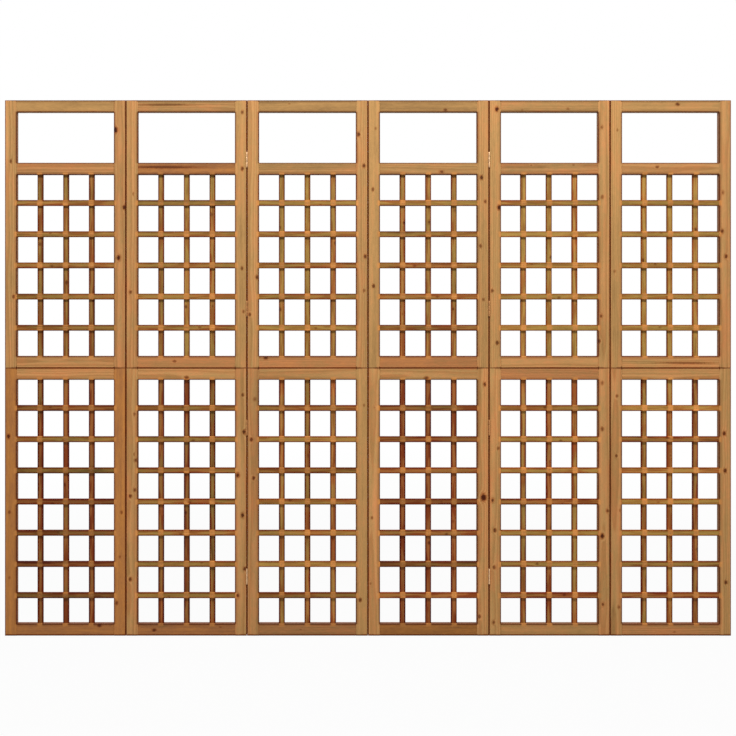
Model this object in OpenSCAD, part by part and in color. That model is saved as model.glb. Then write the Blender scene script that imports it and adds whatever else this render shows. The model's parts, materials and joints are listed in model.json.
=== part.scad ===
// Folding trellis screen of hinged panels. Each panel is two frames, one on the other, with a lattice of
// crossbars laid over uprights. X runs along the screen, -Y is its front, +Z is up, and the origin is the
// middle of its foot. All sizes are in millimetres, with the screen standing open in one line.

/* [Screen] */
// Number of panels
panel_count = 6; // [2:1:6]
// Width of one panel
panel_w = 406; // [380:1:460]
// Height of one frame, half the height of the screen
frame_h = 900; // [800:10:1000]
// Gap between neighbouring panels
panel_gap = 1; // [0.6:0.1:2]

/* [Frames] */
// Thickness of the stiles and rails
frame_t = 20; // [19:0.5:28]
// Width of a stile
stile_w = 40; // [34:1:50]
// Width of a rail
rail_w = 40; // [34:1:50]
// Width of the transom under the window
transom_w = 40; // [34:1:50]
// Height of the open window under the top rail
window_h = 170; // [90:5:260]
// Bevel along the edges of the stiles and rails
frame_bevel = 1.5; // [0.5:0.1:2.5]

/* [Lattice] */
// Width of a slat
slat_w = 20; // [15:1:26]
// Thickness of a slat
slat_t = 8; // [5:0.5:9]
// Bevel along the edges of a slat
slat_bevel = 1; // [0.3:0.1:1.5]
// Depth that a slat's end is housed in the frame
slat_housing = 10; // [6:1:15]
// Number of uprights across each frame
upright_count = 3; // [2:1:4]
// Number of crossbars in the upper frame
upper_crossbar_count = 5; // [3:1:6]
// Number of crossbars in the lower frame
lower_crossbar_count = 7; // [5:1:8]

/* [Joinery] */
// Length of a rail's tenon
tenon_l = 20; // [12:1:25]
// Thickness of a tenon
tenon_t = 8; // [6:0.5:10]
// Shoulder above and below a tenon
tenon_shoulder = 7; // [4:0.5:10]
// Clearance round a tenon or a housed slat end
wood_fit = 0.1; // [0.05:0.01:0.2]
// Diameter of the screws that join the two frames of a panel
joining_screw_d = 5; // [4:0.5:6]
// Head diameter of a joining screw
joining_head_d = 10; // [8:0.5:12]
// Head height of a joining screw
joining_head_h = 3; // [2:0.5:4]
// Length of a joining screw
joining_screw_l = 65; // [56:1:66]

/* [Hinges] */
// Distance from each end of a frame to the middle of its hinge
hinge_inset = 200; // [120:5:260]
// Height of a hinge
hinge_h = 51; // [40:1:76]
// Width of a leaf, from the pin's axis to its free edge
leaf_w = 18; // [16:0.5:20]
// Thickness of a leaf
leaf_t = 1.2; // [1:0.1:1.5]
// Outer diameter of the barrel
barrel_d = 5; // [4.6:0.1:7]
// Diameter of the pin
pin_d = 2.5; // [2:0.1:3]
// Radial clearance of the pin in the knuckles
pin_fit = 0.05; // [0.02:0.01:0.1]
// Diameter of the pin's heads
pin_head_d = 4; // [3.4:0.1:4.6]
// Height of the pin's heads
pin_head_h = 0.8; // [0.5:0.1:1.5]
// Gap between two knuckles, and round a knuckle where the other leaf is notched
knuckle_gap = 0.3; // [0.2:0.05:0.5]
// Clearance round a leaf in its recess
leaf_fit = 0.1; // [0.05:0.01:0.2]
// Diameter of a hinge screw
hinge_screw_d = 2.5; // [2:0.1:3]
// Head diameter of a hinge screw
hinge_head_d = 4.6; // [4:0.1:5]
// Length of a hinge screw
hinge_screw_l = 13; // [10:0.5:16]
// Distance from a leaf's end to its outer screws
screw_margin = 8; // [5:0.5:10]
// Distance from a leaf's free edge to its outer screws
screw_edge = 4.5; // [4:0.1:5]
// Step from the outer screws to the middle one, towards the pin
screw_step = 4; // [0:0.5:5]
// Clearance round a screw
screw_fit = 0.05; // [0.02:0.01:0.1]

/* [Hidden] */
panel_kinds = [
    "upper_stiles", "upper_rails", "lower_stiles", "lower_rails", "lattice_uprights",
    "lattice_crossbars", "hinge_leaves", "hinge_screws", "joining_screws"
];
NODES = concat(
    [for (p = [1 : panel_count], kind = panel_kinds) str("panel_", p, "_", kind)],
    [for (p = [1 : panel_count - 1]) str("panel_", p, "_hinge_pins")]
);
node = "all";

$fn = 32;
frame_colour = [0.77, 0.58, 0.36];
upright_colour = [0.66, 0.46, 0.26];
crossbar_colour = [0.72, 0.52, 0.30];
metal_colour = [0.80, 0.77, 0.70];

// Overrun of a cut past the face that it opens
over = 1;

// Plan of the screen
panel_pitch = panel_w + panel_gap;
screen_w = panel_count * panel_pitch - panel_gap;
function panel_x(p) = (p - 1) * panel_pitch - screen_w / 2;
function line_x(line) = panel_x(line) + panel_w + panel_gap / 2;
function is_front(line) = line % 2 == 0;

// Plan of one panel, from its left edge
inner_w = panel_w - 2 * stile_w;
cell_w = (inner_w - upright_count * slat_w) / (upright_count + 1);
upright_x = [for (i = [1 : upright_count]) stile_w + i * cell_w + (i - 0.5) * slat_w];
joining_x = [stile_w + cell_w / 2, panel_w - stile_w - cell_w / 2];

// Lattice bays, as low and high edges, and the crossbars' centres in them
lower_bay = [rail_w, frame_h - rail_w];
upper_bay = [frame_h + rail_w, 2 * frame_h - rail_w - window_h - transom_w];
function crossbar_z(bay, count) =
    let (cell_h = (bay[1] - bay[0] - count * slat_w) / (count + 1))
    [for (i = [1 : count]) bay[0] + i * cell_h + (i - 0.5) * slat_w];
lower_crossbar_z = crossbar_z(lower_bay, lower_crossbar_count);
upper_crossbar_z = crossbar_z(upper_bay, upper_crossbar_count);

// Rails of each frame, as centre height and width
lower_rail_rows = [[rail_w / 2, rail_w], [frame_h - rail_w / 2, rail_w]];
upper_rail_rows = [
    [frame_h + rail_w / 2, rail_w],
    [upper_bay[1] + transom_w / 2, transom_w],
    [2 * frame_h - rail_w / 2, rail_w]
];

// Hinges, from the middle of the gap and the middle of their height
lower_hinge_z = [hinge_inset, frame_h - hinge_inset];
upper_hinge_z = [frame_h + hinge_inset, 2 * frame_h - hinge_inset];
hinge_z = concat(lower_hinge_z, upper_hinge_z);
barrel_y = frame_t / 2 + barrel_d / 2;
knuckle_h = (hinge_h - 2 * knuckle_gap) / 3;
leaf_face_x = -panel_gap / 2;
leaf_edge_y = barrel_y - leaf_w;
bore_d = pin_d + 2 * pin_fit;
outer_knuckles = [-1, 1];
middle_knuckle = [0];
hinge_screw_yz = [
    [leaf_edge_y + screw_edge, screw_margin - hinge_h / 2],
    [leaf_edge_y + screw_edge + screw_step, 0],
    [leaf_edge_y + screw_edge, hinge_h / 2 - screw_margin]
];

// Section of a board with bevelled edges, centred
function board_section(w, t, bevel) = [
    [-w / 2 + bevel, -t / 2], [w / 2 - bevel, -t / 2], [w / 2, -t / 2 + bevel], [w / 2, t / 2 - bevel],
    [w / 2 - bevel, t / 2], [-w / 2 + bevel, t / 2], [-w / 2, t / 2 - bevel], [-w / 2, -t / 2 + bevel]
];

// Board that stands along +Z from the origin
module post(w, t, l, bevel) {
    linear_extrude(l) polygon(board_section(w, t, bevel));
}

// Board that runs along +X from the origin
module beam(w, t, l, bevel) {
    rotate([0, 90, 0]) post(w, t, l, bevel);
}

// Places its children at the left edge of a panel
module at_panel(p) {
    translate([panel_x(p), 0, 0]) children();
}

// Places its children at a hinge, with the barrel behind the screen or, on a front line, before it
module at_hinge(line, z) {
    translate([line_x(line), 0, z]) mirror([0, is_front(line) ? 1 : 0, 0]) children();
}

// Turns what is drawn for the panel on a line's left into its twin on the right
module on_right() {
    mirror([1, 0, 0]) children();
}

// Countersunk screw along +Z with its head's face at the origin, grown all round where it cuts a hole
module screw(d, head_d, head_h, l, grow = 0) {
    r = d / 2 + grow;
    rotate_extrude()
        polygon([[0, 0], [head_d / 2 + grow, 0], [r, head_h], [r, l - d], [0, l + grow]]);
}

// Hole for that screw, open at its head
module screw_hole(d, head_d, head_h, l) {
    screw(d, head_d, head_h, l, screw_fit);
    translate([0, 0, -over]) cylinder(h = over, d = head_d + 2 * screw_fit);
}

// Space of a rail's tenons, right across a panel, grown by a clearance where it cuts mortises
module tenon_space(row, grow = 0) {
    l = inner_w + 2 * tenon_l + 2 * grow;
    h = row[1] - 2 * tenon_shoulder + 2 * grow;
    t = tenon_t + 2 * grow;
    translate([panel_w / 2, 0, row[0]]) cube([l, t, h], center = true);
}

// Space of a crossbar, grown by the clearance that its housings have
module crossbar_space(z) {
    l = inner_w + 2 * slat_housing + 2 * wood_fit;
    translate([panel_w / 2, -slat_t / 2, z])
        cube([l, slat_t + 2 * wood_fit, slat_w + 2 * wood_fit], center = true);
}

// Space of an upright, grown by the clearance that its housings have
module upright_space(x, bay) {
    l = bay[1] - bay[0] + 2 * slat_housing + 2 * wood_fit;
    translate([x, slat_t / 2, (bay[0] + bay[1]) / 2])
        cube([slat_w + 2 * wood_fit, slat_t + 2 * wood_fit, l], center = true);
}

// Recess and screw holes that a hinge needs in the stile on its left
module leaf_seat() {
    depth = leaf_w + over;
    translate([leaf_face_x - leaf_t, leaf_edge_y - leaf_fit, -hinge_h / 2 - leaf_fit])
        cube([leaf_t + over, depth, hinge_h + 2 * leaf_fit]);
    leaf_screw_holes();
}

// Places its children at a leaf's screws, with +Z pointing into the stile
module at_leaf_screws() {
    for (yz = hinge_screw_yz)
        translate([leaf_face_x, yz[0], yz[1]]) rotate([0, -90, 0]) children();
}

module leaf_screw_holes() {
    at_leaf_screws() screw_hole(hinge_screw_d, hinge_head_d, leaf_t, hinge_screw_l);
}

// Stiles of one frame of a panel, with mortises, slat housings and hinge recesses
module stiles(p, z0, rail_rows, bar_z, seat_z) {
    color(frame_colour) difference() {
        at_panel(p) for (x = [stile_w / 2, panel_w - stile_w / 2])
            translate([x, 0, z0]) post(stile_w, frame_t, frame_h, frame_bevel);
        at_panel(p) for (row = rail_rows) tenon_space(row, wood_fit);
        at_panel(p) for (z = bar_z) crossbar_space(z);
        if (p < panel_count) for (z = seat_z) at_hinge(p, z) leaf_seat();
        if (p > 1) for (z = seat_z) at_hinge(p - 1, z) on_right() leaf_seat();
    }
}

module upper_stiles(p) {
    stiles(p, frame_h, upper_rail_rows, upper_crossbar_z, upper_hinge_z);
}

module lower_stiles(p) {
    stiles(p, 0, lower_rail_rows, lower_crossbar_z, lower_hinge_z);
}

// Rails of one frame of a panel, with tenons, slat housings and holes for the joining screws
module rails(p, rail_rows, bay) {
    color(frame_colour) at_panel(p) difference() {
        for (row = rail_rows) {
            translate([stile_w, 0, row[0]]) beam(row[1], frame_t, inner_w, frame_bevel);
            tenon_space(row);
        }
        for (x = upright_x) upright_space(x, bay);
        at_joining_screws() screw_hole(joining_screw_d, joining_head_d, joining_head_h, joining_screw_l);
    }
}

module upper_rails(p) {
    rails(p, upper_rail_rows, upper_bay);
}

module lower_rails(p) {
    rails(p, lower_rail_rows, lower_bay);
}

// Uprights of both frames, in the back layer of the lattice
module lattice_uprights(p) {
    color(upright_colour) at_panel(p) for (bay = [lower_bay, upper_bay], x = upright_x)
        translate([x, slat_t / 2, bay[0] - slat_housing])
            post(slat_w, slat_t, bay[1] - bay[0] + 2 * slat_housing, slat_bevel);
}

// Crossbars of both frames, in the front layer of the lattice
module lattice_crossbars(p) {
    color(crossbar_colour) at_panel(p) for (z = concat(lower_crossbar_z, upper_crossbar_z))
        translate([stile_w - slat_housing, -slat_t / 2, z])
            beam(slat_w, slat_t, inner_w + 2 * slat_housing, slat_bevel);
}

// Knuckles of a barrel, counted from its middle one
module knuckles(places, d, h) {
    for (k = places)
        translate([0, barrel_y, k * (knuckle_h + knuckle_gap)]) cylinder(h = h, d = d, center = true);
}

// Leaf on a line's left, with its own knuckles and notches round those of the other leaf
module leaf(own, other) {
    difference() {
        union() {
            translate([leaf_face_x - leaf_t, leaf_edge_y, -hinge_h / 2]) cube([leaf_t, leaf_w, hinge_h]);
            knuckles(own, barrel_d, knuckle_h);
        }
        knuckles(other, barrel_d + 2 * knuckle_gap, knuckle_h + 2 * knuckle_gap);
        translate([0, barrel_y, 0]) cylinder(h = hinge_h + 2 * over, d = bore_d, center = true);
        leaf_screw_holes();
    }
}

module hinge_leaves(p) {
    color(metal_colour) for (z = hinge_z) {
        if (p < panel_count) at_hinge(p, z) leaf(outer_knuckles, middle_knuckle);
        if (p > 1) at_hinge(p - 1, z) on_right() leaf(middle_knuckle, outer_knuckles);
    }
}

module leaf_screws() {
    at_leaf_screws() screw(hinge_screw_d, hinge_head_d, leaf_t, hinge_screw_l);
}

module hinge_screws(p) {
    color(metal_colour) for (z = hinge_z) {
        if (p < panel_count) at_hinge(p, z) leaf_screws();
        if (p > 1) at_hinge(p - 1, z) on_right() leaf_screws();
    }
}

// Pin through the three knuckles, with a bevelled head at each end
module hinge_pin() {
    translate([0, barrel_y, 0]) {
        cylinder(h = hinge_h, d = pin_d, center = true);
        for (end = [0, 1]) mirror([0, 0, end])
            translate([0, 0, hinge_h / 2]) cylinder(h = pin_head_h, d1 = pin_head_d, d2 = pin_d);
    }
}

module hinge_pins(p) {
    color(metal_colour) for (z = hinge_z) at_hinge(p, z) hinge_pin();
}

// Places its children at the joining screws, which go up through the meeting rails
module at_joining_screws() {
    for (x = joining_x) translate([x, 0, frame_h - rail_w]) children();
}

module joining_screws(p) {
    color(metal_colour) at_panel(p) at_joining_screws()
        screw(joining_screw_d, joining_head_d, joining_head_h, joining_screw_l);
}

function wanted(p, kind) = node == "all" || node == str("panel_", p, "_", kind);

for (p = [1 : panel_count]) {
    if (wanted(p, "upper_stiles")) upper_stiles(p);
    if (wanted(p, "upper_rails")) upper_rails(p);
    if (wanted(p, "lower_stiles")) lower_stiles(p);
    if (wanted(p, "lower_rails")) lower_rails(p);
    if (wanted(p, "lattice_uprights")) lattice_uprights(p);
    if (wanted(p, "lattice_crossbars")) lattice_crossbars(p);
    if (wanted(p, "hinge_leaves")) hinge_leaves(p);
    if (wanted(p, "hinge_screws")) hinge_screws(p);
    if (wanted(p, "joining_screws")) joining_screws(p);
    if (p < panel_count && wanted(p, "hinge_pins")) hinge_pins(p);
}
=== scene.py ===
"""Models the looks of a folding trellis screen: its fir frames, its lattice, its hinges and its screws."""

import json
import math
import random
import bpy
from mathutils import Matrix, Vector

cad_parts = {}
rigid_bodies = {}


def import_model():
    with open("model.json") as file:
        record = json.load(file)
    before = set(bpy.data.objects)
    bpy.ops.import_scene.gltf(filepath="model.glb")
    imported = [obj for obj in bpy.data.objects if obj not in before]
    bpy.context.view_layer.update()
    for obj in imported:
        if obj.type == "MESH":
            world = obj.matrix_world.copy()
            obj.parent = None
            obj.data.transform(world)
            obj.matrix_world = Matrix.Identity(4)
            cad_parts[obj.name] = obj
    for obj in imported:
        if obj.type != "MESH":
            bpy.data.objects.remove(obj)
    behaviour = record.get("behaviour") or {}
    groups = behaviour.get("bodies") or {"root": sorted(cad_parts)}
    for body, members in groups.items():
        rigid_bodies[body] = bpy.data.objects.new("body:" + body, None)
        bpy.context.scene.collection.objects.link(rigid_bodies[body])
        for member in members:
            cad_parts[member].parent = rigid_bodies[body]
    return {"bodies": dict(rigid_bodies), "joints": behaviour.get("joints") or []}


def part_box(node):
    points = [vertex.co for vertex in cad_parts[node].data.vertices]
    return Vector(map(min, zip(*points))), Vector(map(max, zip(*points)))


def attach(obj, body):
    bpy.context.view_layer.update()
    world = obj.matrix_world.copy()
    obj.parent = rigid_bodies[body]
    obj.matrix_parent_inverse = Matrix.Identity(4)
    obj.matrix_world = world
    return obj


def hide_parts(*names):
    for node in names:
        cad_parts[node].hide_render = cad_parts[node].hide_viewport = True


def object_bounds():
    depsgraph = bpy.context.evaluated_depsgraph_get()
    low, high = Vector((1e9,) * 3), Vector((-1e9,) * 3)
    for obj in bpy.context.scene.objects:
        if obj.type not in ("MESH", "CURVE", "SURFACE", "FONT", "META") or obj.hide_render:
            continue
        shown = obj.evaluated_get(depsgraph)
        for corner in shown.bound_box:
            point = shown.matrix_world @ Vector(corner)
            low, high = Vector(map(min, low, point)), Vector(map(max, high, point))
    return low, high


bl_info = {
    "name": "Folding trellis screen",
    "version": (1, 0, 0),
    "blender": (4, 5, 0),
    "location": "View3D > Sidebar > Trellis",
    "description": "Models the fir frames, the lattice and the hinges of a folding trellis screen",
    "category": "Add Mesh",
}

from collections import namedtuple
from contextlib import contextmanager

import bpy
from bpy.props import FloatProperty, FloatVectorProperty, IntProperty, PointerProperty
from bpy.types import Operator, Panel, PropertyGroup
from mathutils import Matrix, Vector

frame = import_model()
cad_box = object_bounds()

# Places that the frame gives
PANELS = range(1, len(frame["bodies"]) + 1)
LINES = range(1, len(frame["joints"]) + 1)
HINGE_AXES = {line: Vector(joint["pos_m"]) for line, joint in zip(LINES, frame["joints"])}
BARREL_OUT = abs(HINGE_AXES[1].y)
FOOT_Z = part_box("panel_1_lower_stiles")[0].z
SEAM_Z, HEAD_Z = (corner.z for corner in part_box("panel_1_upper_stiles"))
FRONT_Y, BACK_Y = (corner.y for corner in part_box("panel_1_upper_stiles"))
CROSSBAR_FRONT_Y, SLAT_MEETING_Y = (corner.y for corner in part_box("panel_1_lattice_crossbars"))
UPRIGHT_BACK_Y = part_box("panel_1_lattice_uprights")[1].y
PANEL_LEFTS = {p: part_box(f"panel_{p}_upper_stiles")[0].x for p in PANELS}
PANEL_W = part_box("panel_1_upper_stiles")[1].x - PANEL_LEFTS[1]
PANEL_GAP = PANEL_LEFTS[2] - PANEL_LEFTS[1] - PANEL_W

# How far a cutter reaches past the face that it opens
OVER = 0.001
# Points closer than this count as one
NEAR = 1e-6
# Least share of a direction along an axis that counts as along it
MAINLY = 0.9
# Angle between two faces up to which their shading is smooth
SMOOTH_ANGLE = math.radians(35)
# Length of the pieces that a board is divided into, each of which draws the knot and the lap nearest to it
BOARD_STEP = 0.025
# Segments of a rounded edge: along a board, round its ends, on a knuckle and on a pin's head
EASE_STEPS = 4
END_STEPS = 2
KNUCKLE_STEPS = 2
PIN_STEPS = 3
# Sides of the round pieces
KNUCKLE_SIDES = 24
PIN_SIDES = 16
HOLE_SIDES = 16
SCREW_SIDES = 12
BRAD_SIDES = 8

# A knot and a lap that no surface reaches, for boards without one
NO_KNOT = (9.0, 9.0, 0.001)
NO_LAP = (9.0, 0.0, 0.001)
# Half length that keeps a board's hidden ends out of its edge stain
HIDDEN_END = 9.0

# Knots are given in millimetres
MM = 0.001
# Knots that show on the stiles, by panel and side: height, place across from the stile's middle, radius
STILE_KNOTS = {
    (1, "left"): [(1595, 0, 4), (1140, 9, 4), (670, -8, 5), (415, -5, 3.5), (195, -5, 3)],
    (1, "right"): [(1700, -14, 6.5), (1440, 15, 5), (1270, -4, 5.5), (415, 6, 3.5), (265, 0, 3),
                   (110, -10, 4)],
    (2, "left"): [(1485, 5, 3), (1155, -5, 4), (745, 9, 3.5), (610, 8, 3), (590, 12, 4), (490, 9, 4),
                  (470, -6, 4.5), (190, -6, 4.5)],
    (2, "right"): [(1760, 5, 4), (1570, 5, 4.5), (1235, 4, 4), (1090, 9, 3.5), (810, 6, 4), (685, 11, 5),
                   (540, -10, 5), (405, 6, 5), (225, 13, 4.5), (135, -10, 4.5)],
    (3, "left"): [(1205, 13, 4.5), (1080, -11, 4), (795, 6, 3.5), (660, -5, 4.5), (530, 2, 4.5)],
    (3, "right"): [(1685, -11, 4.5), (1580, 7, 4.5), (1275, 11, 4.5), (1160, 7, 3.5), (775, 7, 3),
                   (120, -6, 4.5)],
    (4, "left"): [(1705, 5, 3), (1500, -4, 4), (1175, -2, 4.5)],
    (4, "right"): [(1540, -5, 5), (1460, 8, 4), (1310, -8, 4), (1130, 1, 3.5), (845, 6, 4.5), (465, 2, 8),
                   (65, -12, 4)],
    (5, "left"): [(1770, 6, 5.5), (1440, 13, 5.5), (1160, -10, 4), (985, 7, 4.5), (630, 10, 3.5),
                  (455, -9, 4.5), (355, -2, 4.5), (230, -4, 4), (45, -5, 4)],
    (5, "right"): [(1710, -8, 3.5), (1475, -6, 3.5), (1075, -10, 4), (990, -16, 4), (850, -6, 3.5),
                   (695, -6, 4), (420, 12, 4), (335, -6, 5.5), (105, -4, 4)],
    (6, "left"): [(1700, 4, 3), (1225, -6, 3), (605, 0, 4)],
    (6, "right"): [(1490, -8, 3.5), (1360, -10, 4.5), (1275, 3, 4.5), (680, -3, 5), (555, 0, 5),
                   (180, 2, 4.5)],
}
# Fewest knots on a stile, below which chance adds some
STILE_KNOTS_LEAST = 2
# Streaks and knots that show on the rails: place along, place across and radius, below 0 for a streak
RAIL_KNOTS = {
    (1, "lower_rail_0"): (115, 14, 4.5),
    (2, "upper_rail_1"): (-75, 5, -4),
    (2, "upper_rail_2"): (-75, 5, -3),
    (3, "upper_rail_0"): (-140, 14, 4.5),
    (6, "upper_rail_0"): (50, -3, -3),
}
# Knots that chance gives to each kind of board: the numbers to draw from, and the range of their radius
CHANCE_KNOTS = {
    "stile": ([3], (2, 3.5)),
    "rail": ([0, 1, 1, 2], (2, 4.5)),
    "upright": ([0, 1, 1, 2], (2, 4)),
    "crossbar": ([0, 0, 1, 1], (2, 3.5)),
}

# How the boards of each kind vary: tone from deep to pale, its spread, warmth from gold to red, its spread
BOARD_KINDS = {
    "upper_upright": (0.58, 0.18, 0.18, 0.22),
    "upper_crossbar": (0.44, 0.24, 0.12, 0.30),
    "lower_upright": (0.56, 0.26, 0.78, 0.40),
    "lower_crossbar": (0.54, 0.48, 0.16, 0.75),
    # The lower stiles are paler, in part painted light that evens out the light's fall towards the floor
    "lower_left_stile": (0.84, 0.08, 0.36, 0.12),
    "lower_right_stile": (0.84, 0.08, 0.36, 0.12),
    "stile": (0.66, 0.12, 0.20, 0.14),
    "lower_rail_1": (0.74, 0.06, 0.30, 0.12),
    "rail": (0.55, 0.14, 0.38, 0.16),
}
# How the slats of each panel differ from the rest, in tone and warmth
PANEL_SLATS = {
    1: (-0.26, 0.28),
    2: (-0.11, -0.09),
    3: (-0.03, -0.15),
    4: (0.00, 0.25),
    5: (0.20, -0.08),
    6: (0.17, -0.20),
}
# Boards that stand out from the rest of their kind, with their panels: tone and warmth
BOARD_TONES = {
    "lower_left_stile": {1: (0.55, 1.80), 3: (0.62, 0.45), 4: (1.02, 0.40), 5: (0.98, 0.35)},
    "lower_right_stile": {1: (0.63, 1.70), 3: (0.84, 0.10)},
    "upper_left_stile": {3: (0.84, 0.32), 4: (0.66, -0.10)},
    "upper_right_stile": {1: (0.55, 0.42), 5: (0.84, 0.40), 6: (0.72, 0.40)},
    "lower_rail_0": {1: (0.30, 1.40), 2: (0.18, 1.20), 3: (0.26, 0.75),
                     4: (0.03, 2.00), 5: (0.62, 0.12), 6: (0.62, 0.66)},
    "lower_rail_1": {5: (0.56, 0.85)},
    "upper_rail_0": {1: (0.76, 0.45), 2: (0.68, 0.80), 3: (0.74, 0.85),
                     4: (0.46, 0.90), 5: (0.88, 0.44), 6: (1.02, 0.60)},
    "upper_rail_1": {1: (0.40, 0.55), 2: (0.00, 1.20), 3: (0.28, 0.25), 5: (0.34, 0.50)},
    "upper_rail_2": {1: (0.52, -0.20), 2: (0.24, 0.25), 3: (0.20, -0.60),
                     4: (0.25, -1.00), 5: (0.36, 0.10), 6: (0.56, 0.10)},
    "lower_crossbar_1": {1: (0.05, 1.60), 3: (1.05, -0.40)},
    "lower_crossbar_2": {6: (1.00, -0.30)},
    "lower_crossbar_3": {1: (0.35, 1.60), 4: (0.25, 1.60), 6: (1.10, -0.30)},
    "lower_crossbar_6": {6: (1.25, 0.00)},
    "lower_upright_0": {4: (0.35, 1.50)},
    "lower_upright_1": {4: (0.45, 1.50)},
}

# Patterns of the fir: scale along and across the grain, detail and roughness
PATTERNS = {
    "wobble": (190, 190, 2.0, 0.5),
    "sway": (2.2, 12, 2.0, 0.5),
    "streak": (1.6, 75, 3.0, 0.6),
    "cloud": (9, 30, 3.0, 0.55),
    "fleck": (55, 260, 2.0, 0.6),
    "fibre": (45, 1500, 2.0, 0.6),
    "canal": (110, 2400, 1.0, 0.5),
    "band": (9, 120, 2.0, 0.5),
}
# Steps by which a board's seed moves its patterns
DRIFT_STEPS = (317, 173, 239)
# Width of a year ring
RING_W = 0.0032
# Reach of a knot and of a streak across the grain, as a share of that along it
KNOT_OVAL = 0.72
STREAK_OVAL = 0.04
# Half width below which a lap on a frame is a slat's
SLAT_LAP = 0.015
# Heights over the foot between which the painted shade there fades
FOOT_SHADE = (0.0075, 0.003)

# Finishes of the metal: the tint that each takes, and its roughness
METALS = {
    "brad_steel": ("brad", 0.42),
    "hinge_zinc": ("zinc", 0.30),
    "pin_zinc": ("zinc", 0.26),
    "screw_zinc": ("zinc", 0.32),
}

# Strip lights: place, the point that each faces, and size
FRONT_LIGHT = ((0, -2.2, 3.8), (0, 0, 1.0), (4.6, 0.7))
BACK_LIGHT = ((0, 3.0, 3.6), (0, 0, 0.9), (4.0, 1.2))
# Size of the floor, how far it lies under the screen, and the distances between which its shadow fades
FLOOR_SIZE = 60
FLOOR_DROP = 0.0005
SHADOW_FADE = (1.5, 4.5)

Level = namedtuple("Level", "name foot head bay rails bars")
Board = namedtuple("Board", "piece along middle half_l half_w")
# How one kind of board is stained and shaded: widths of the painted shade along its edges, strength of its
# mottling, shift of the low ones
Stain = namedtuple("Stain", "rim_w bleed_w hue_mottle tone_mottle low_shift")
SHADES_AND_STAINS = {
    "frame": Stain(0.0036, 0.011, 1.8, 0.5, 0.0),
    "upright": Stain(0.0052, 0.008, 2.8, 1.1, 0.05),
    "crossbar": Stain(0.0052, 0.008, 2.8, 1.1, -0.05),
}


def setting(kind, **limits):
    """Makes a function that declares one kind of value that a user may change."""

    def declare(name, description, default):
        return kind(name=name, description=description, default=default, **limits)

    return declare


length = setting(FloatProperty, precision=4, unit="LENGTH")
colour = setting(FloatVectorProperty, subtype="COLOR", min=0, max=1)
share = setting(FloatProperty, subtype="FACTOR", min=0, max=1)
count = setting(IntProperty, min=1)
power = setting(FloatProperty, unit="POWER")
plain = setting(FloatProperty)


class TrellisFrameSizes(PropertyGroup):
    """Sizes of the stiles and rails."""

    stile_w: length("Stile width", "Width of a stile's face", 0.040)
    rail_w: length("Rail width", "Width of a rail's face", 0.040)
    transom_w: length("Transom width", "Width of the rail under the window", 0.040)
    window_h: length("Window height", "Height of the open window under the top rail", 0.170)
    ease: length("Eased edge", "Radius of the long edges of a stile or rail", 0.0015)
    end_ease: length("Eased end", "Radius of the edges round a board's ends", 0.0006)
    tenon_l: length("Tenon length", "Length of a rail's tenon", 0.020)
    tenon_t: length("Tenon thickness", "Thickness of a tenon", 0.008)
    shoulder: length("Tenon shoulder", "Shoulder above and below a tenon", 0.007)
    fit: length("Joint clearance", "Clearance round a tenon or a housed slat end", 0.0001)


class TrellisLatticeSizes(PropertyGroup):
    """Sizes of the slats and of the brads that pin them."""

    slat_w: length("Slat width", "Width of a slat's face", 0.020)
    housing: length("Housing depth", "Depth that a slat's end is let into the frame", 0.010)
    ease: length("Eased edge", "Radius of the long edges of a slat", 0.0022)
    uprights: count("Uprights", "Uprights across each frame", 3)
    upper_bars: count("Upper crossbars", "Crossbars in the upper frame", 5)
    lower_bars: count("Lower crossbars", "Crossbars in the lower frame", 7)
    brad_d: length("Brad head", "Diameter of the brad heads at the crossings", 0.0022)
    brad_h: length("Brad height", "Height that a brad's head stands proud", 0.0003)
    brad_l: length("Brad length", "Length of a brad's shank", 0.013)


class TrellisHingeSizes(PropertyGroup):
    """Sizes of the butt hinges and the screws."""

    inset: length("Hinge inset", "From each end of a frame to the middle of its hinge", 0.200)
    height: length("Hinge height", "Height of a hinge", 0.051)
    leaf_w: length("Leaf width", "From the pin's axis to a leaf's free edge", 0.018)
    leaf_t: length("Leaf thickness", "Thickness of a leaf", 0.0012)
    leaf_fit: length("Leaf clearance", "Clearance round a leaf in its recess", 0.0001)
    barrel_d: length("Barrel diameter", "Outer diameter of the knuckles", 0.005)
    knuckle_gap: length("Knuckle gap", "Gap between two knuckles", 0.0003)
    pin_d: length("Pin diameter", "Diameter of a hinge pin", 0.0025)
    pin_fit: length("Pin clearance", "Radial clearance of a pin in the knuckles", 0.00005)
    pin_head_d: length("Pin head", "Diameter of a pin's heads", 0.004)
    pin_head_h: length("Pin head height", "Height of a pin's heads", 0.0008)
    screw_d: length("Hinge screw", "Diameter of a hinge screw", 0.0025)
    screw_head_d: length("Hinge screw head", "Head diameter of a hinge screw", 0.0046)
    screw_l: length("Hinge screw length", "Length of a hinge screw", 0.013)
    screw_margin: length("Screw margin", "From a leaf's end to its outer screws", 0.008)
    screw_edge: length("Screw edge", "From a leaf's free edge to its outer screws", 0.0045)
    screw_step: length("Screw step", "From the outer screws to the middle one, towards the pin", 0.004)
    joiner_d: length("Joining screw", "Diameter of the screws that join two frames", 0.005)
    joiner_head_d: length("Joining screw head", "Head diameter of a joining screw", 0.010)
    joiner_head_h: length("Joining screw head height", "Height of a joining screw's head", 0.003)
    joiner_l: length("Joining screw length", "Length of a joining screw", 0.065)


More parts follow.
